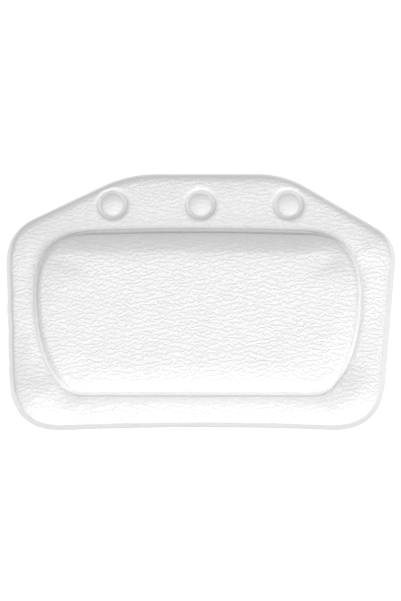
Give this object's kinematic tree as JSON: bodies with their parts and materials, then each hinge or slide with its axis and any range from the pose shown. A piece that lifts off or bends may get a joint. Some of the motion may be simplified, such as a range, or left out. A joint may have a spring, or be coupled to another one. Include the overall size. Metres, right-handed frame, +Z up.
{
  "type": "bath pillow",
  "caption": "Padded vinyl head rest with a crowned cushion, a puffed flange and suction cups behind its top edge, for a bath's sloping wall.",
  "frame": {"origin": "centre of the middle suction cup's lip plane, where the cup meets the bath's wall", "axes": "+X to the right seen from the front, +Y out of the back into the wall, +Z up towards the edge with the cups"},
  "size_m": [0.3208, 0.0348, 0.215],
  "materials": {
    "cover_vinyl": "embossed crepe grain, satin",
    "back_vinyl": "plain, satin",
    "foam": "open-cell foam",
    "clear_vinyl": "moulded, clear and glossy"
  },
  "bodies": {
    "pillow": {"front_cover": "cover_vinyl", "back_cover": "back_vinyl", "cushion_core": "foam", "flange_pad": "foam", "dome_pad_left": "foam", "dome_pad_middle": "foam", "dome_pad_right": "foam", "eyelet_ring_left": "back_vinyl", "eyelet_ring_middle": "back_vinyl", "eyelet_ring_right": "back_vinyl"},
    "cup_left": {"suction_cup_left": "clear_vinyl"},
    "cup_middle": {"suction_cup_middle": "clear_vinyl"},
    "cup_right": {"suction_cup_right": "clear_vinyl"}
  },
  "joints": [
    {"name": "cup_left_swivel", "type": "hinge", "parent": "pillow", "child": "cup_left", "pos_m": [-0.0732, 0, 0], "axis": [0, 1, 0], "continuous": true},
    {"name": "cup_middle_swivel", "type": "hinge", "parent": "pillow", "child": "cup_middle", "pos_m": [0, 0, 0], "axis": [0, 1, 0], "continuous": true},
    {"name": "cup_right_swivel", "type": "hinge", "parent": "pillow", "child": "cup_right", "pos_m": [0.0732, 0, 0], "axis": [0, 1, 0], "continuous": true}
  ]
}
